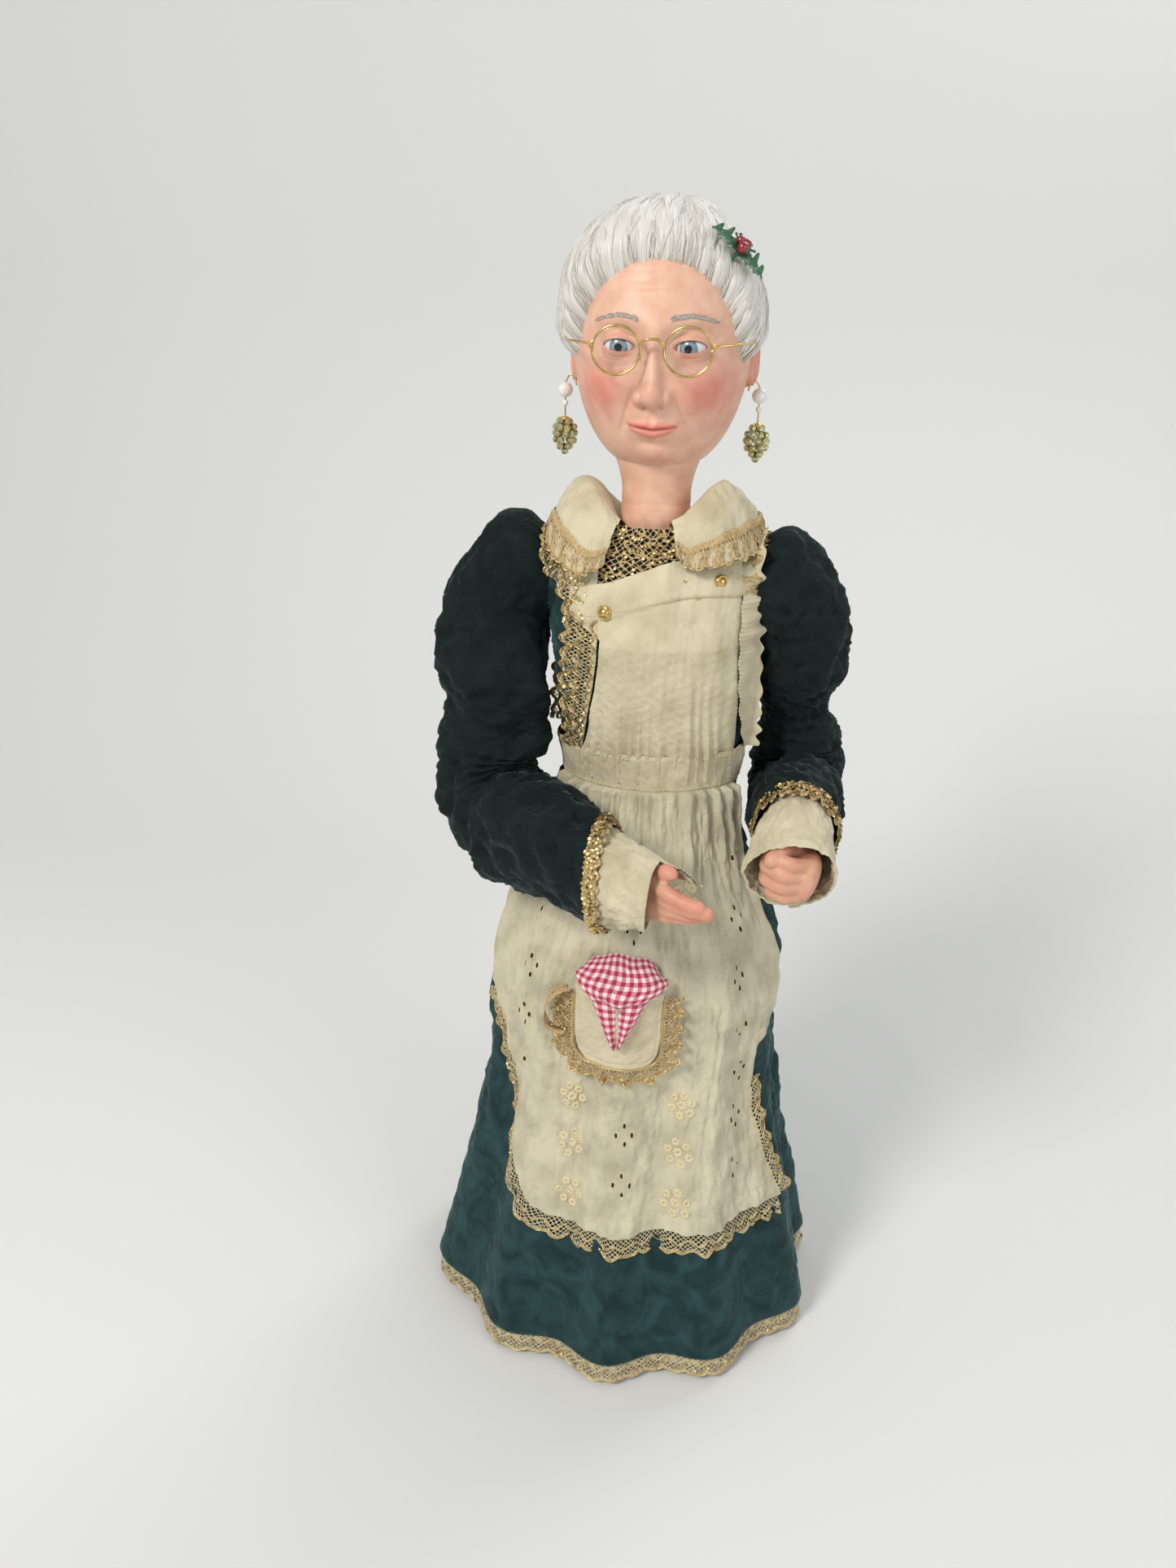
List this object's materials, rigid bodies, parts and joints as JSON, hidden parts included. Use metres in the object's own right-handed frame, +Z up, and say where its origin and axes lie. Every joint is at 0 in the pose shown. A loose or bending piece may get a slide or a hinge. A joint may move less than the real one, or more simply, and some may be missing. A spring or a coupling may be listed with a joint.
{
  "type": "standing display doll",
  "caption": "Standing grandmother display doll in a long velvet dress, lace-edged pinafore, wire spectacles and a swept-up wig, on a hidden round base, with a turning head and posable arms.",
  "frame": {"origin": "middle of the base board's underside, on the floor the doll stands on", "axes": "+Z up through the doll's neck, -Y the way it faces, +X towards its left hand"},
  "size_m": [0.2236, 0.2391, 0.6094],
  "materials": {
    "velvet": "deep bottle green cotton velvet, short close pile",
    "cotton": "cream cotton, lightly crumpled, matt",
    "lace": "cream lace with a gold thread along its edge",
    "gold_lace": "narrow gold metallic lace braid",
    "gingham": "crimson and white checked cotton",
    "skin": "flesh coloured soft vinyl, blushed cheeks",
    "hair": "off-white synthetic hair fibre, swept up",
    "gilt_wire": "bright gilt wire and small gilt beads",
    "lens": "thin clear plastic discs",
    "pearl": "pearlescent bead",
    "eye": "glossy moulded eye with a blue-grey iris",
    "leaf": "dark green fabric leaves with a soft sheen",
    "berry": "small dark red beads",
    "wood": "plain sanded softwood and board",
    "form_plastic": "plain off-white moulded plastic, hidden by the dress",
    "steel": "plain bright wire rod and pins"
  },
  "bodies": {
    "torso": {"base_board": "wood", "body_post": "wood", "skirt_cone": "form_plastic", "chest_form": "form_plastic", "shoulder_rod": "steel", "right_rod_cap": "steel", "left_rod_cap": "steel", "bodice": "velvet", "velvet_skirt": "velvet", "petticoat": "lace", "apron_bib": "cotton", "apron_strap_right": "cotton", "apron_strap_left": "cotton", "apron_frill_right": "lace", "apron_frill_left": "lace", "apron_waistband": "cotton", "apron_bow": "cotton", "apron_skirt": "cotton", "apron_hem_lace": "lace", "apron_side_lace_right": "lace", "apron_side_lace_left": "lace", "apron_pocket": "cotton", "pocket_lace": "gold_lace", "pocket_kerchief": "gingham", "bib_button_right": "gilt_wire", "bib_button_left": "gilt_wire", "collar": "cotton", "neck_lace": "gold_lace"},
    "head": {"head": "skin", "right_eye": "eye", "left_eye": "eye", "spectacle_frame": "gilt_wire", "right_lens": "lens", "left_lens": "lens", "wig": "hair", "wig_bun": "hair", "right_pearl_drop": "pearl", "left_pearl_drop": "pearl", "holly_leaves": "leaf", "holly_berries": "berry"},
    "right_upper_arm": {"right_upper_arm_bar": "form_plastic", "right_upper_sleeve": "velvet", "right_elbow_pin": "steel"},
    "right_forearm": {"right_forearm_bar": "form_plastic", "right_lower_sleeve": "velvet", "right_sleeve_lace": "gold_lace", "right_cuff": "cotton", "right_hand": "skin"},
    "left_upper_arm": {"left_upper_arm_bar": "form_plastic", "left_upper_sleeve": "velvet", "left_elbow_pin": "steel"},
    "left_forearm": {"left_forearm_bar": "form_plastic", "left_lower_sleeve": "velvet", "left_sleeve_lace": "gold_lace", "left_cuff": "cotton", "left_hand": "skin"}
  },
  "joints": [
    {"name": "head_turn", "type": "hinge", "parent": "torso", "child": "head", "pos_m": [0, 0, 0.463], "axis": [0, 0, 1], "range_deg": [-60, 60]},
    {"name": "right_shoulder", "type": "hinge", "parent": "torso", "child": "right_upper_arm", "pos_m": [-0.073, 0.005, 0.432], "axis": [-1, 0, 0], "range_deg": [0, 60]},
    {"name": "left_shoulder", "type": "hinge", "parent": "torso", "child": "left_upper_arm", "pos_m": [0.073, 0.005, 0.432], "axis": [-1, 0, 0], "range_deg": [0, 60]},
    {"name": "right_elbow", "type": "hinge", "parent": "right_upper_arm", "child": "right_forearm", "pos_m": [-0.08202, -0.01806, 0.3197], "axis": [-0.7367, -0.6483, 0.1923], "range_deg": [-5, 20]},
    {"name": "left_elbow", "type": "hinge", "parent": "left_upper_arm", "child": "left_forearm", "pos_m": [0.08103, 0.03962, 0.32263], "axis": [-0.9975, 0.0299, -0.0637], "range_deg": [-5, 20]}
  ]
}
